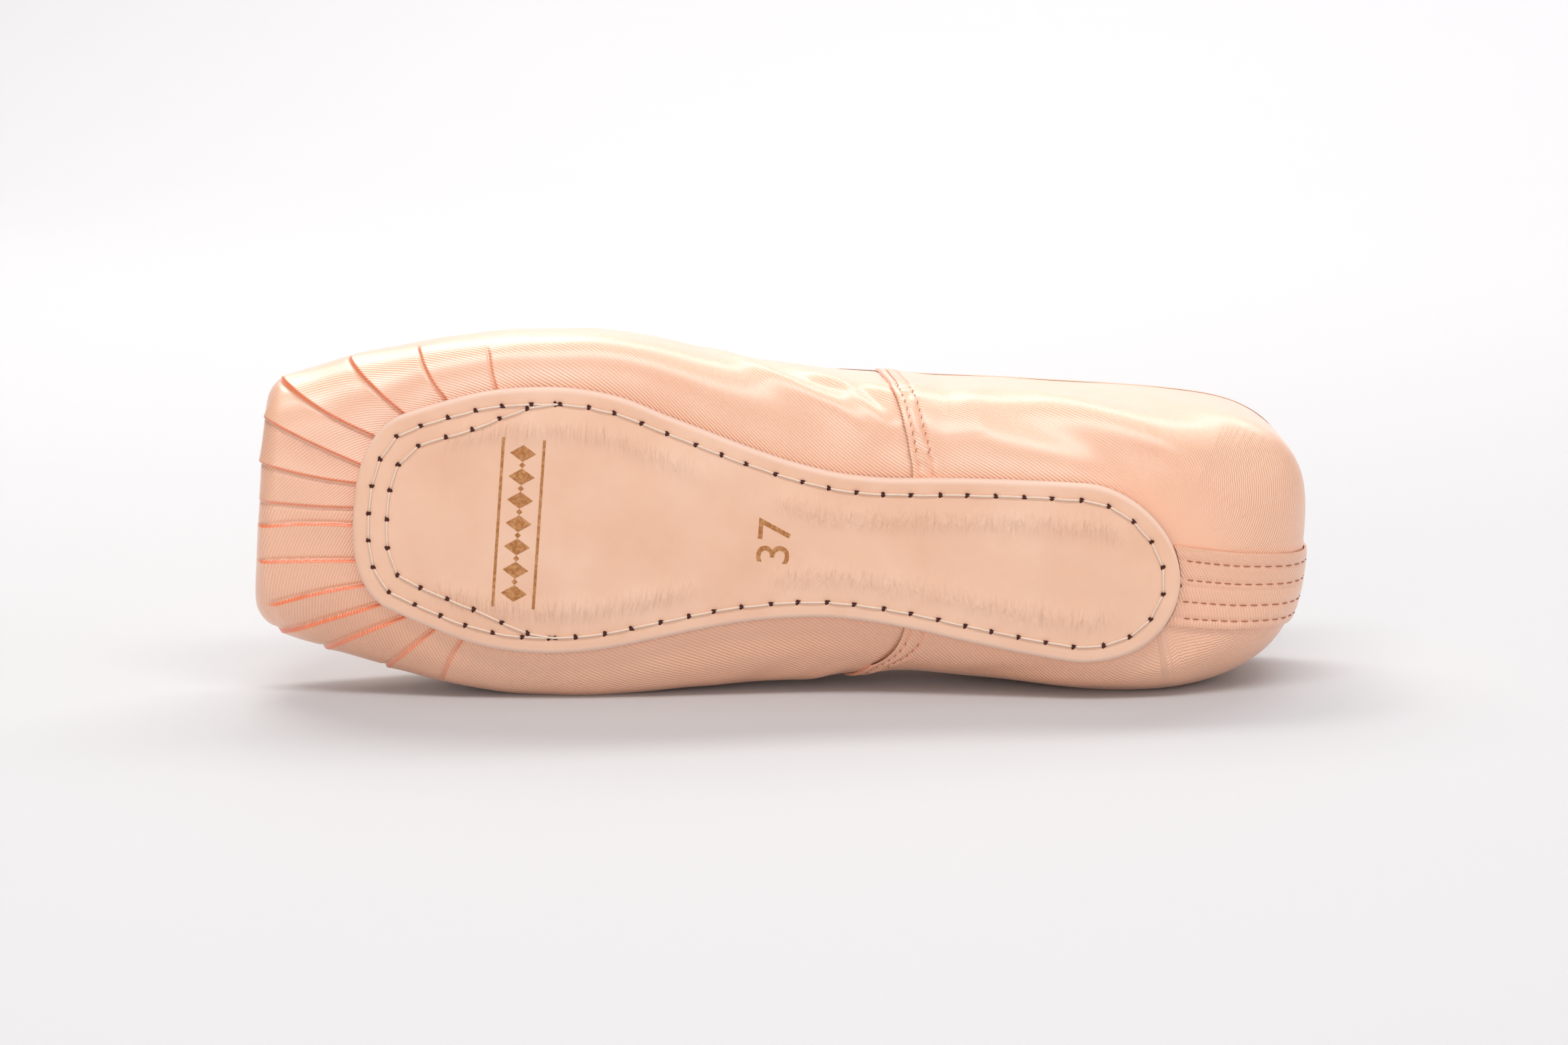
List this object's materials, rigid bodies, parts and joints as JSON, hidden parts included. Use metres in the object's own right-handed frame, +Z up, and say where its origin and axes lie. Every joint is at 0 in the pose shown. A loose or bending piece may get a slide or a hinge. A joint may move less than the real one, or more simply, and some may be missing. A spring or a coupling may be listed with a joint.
{
  "type": "pointe shoe",
  "caption": "Satin pointe shoe lying on its side: hollow upper with a flat toe platform, short stitched leather sole, insole, ribbed collar binding and a strip over the back seam.",
  "frame": {"origin": "on the floor, under the middle of the shoe's box as it lies on its side", "axes": "+X from the toe platform towards the heel, +Y from the sole up through the shoe to its collar (the sole faces -Y), +Z up from the floor, across the shoe; the long axis falls 4.4 degrees towards the heel, because ball and heel quarter touch the floor"},
  "size_m": [0.2399, 0.0618, 0.0825],
  "materials": {
    "satin": "satin",
    "sole_leather": "matte",
    "insole_canvas": "matte",
    "elastic_binding": "matte"
  },
  "bodies": {
    "root": {"upper": "satin", "outsole": "sole_leather", "insole": "insole_canvas", "collar_binding": "elastic_binding", "heel_strip": "satin"}
  },
  "joints": []
}
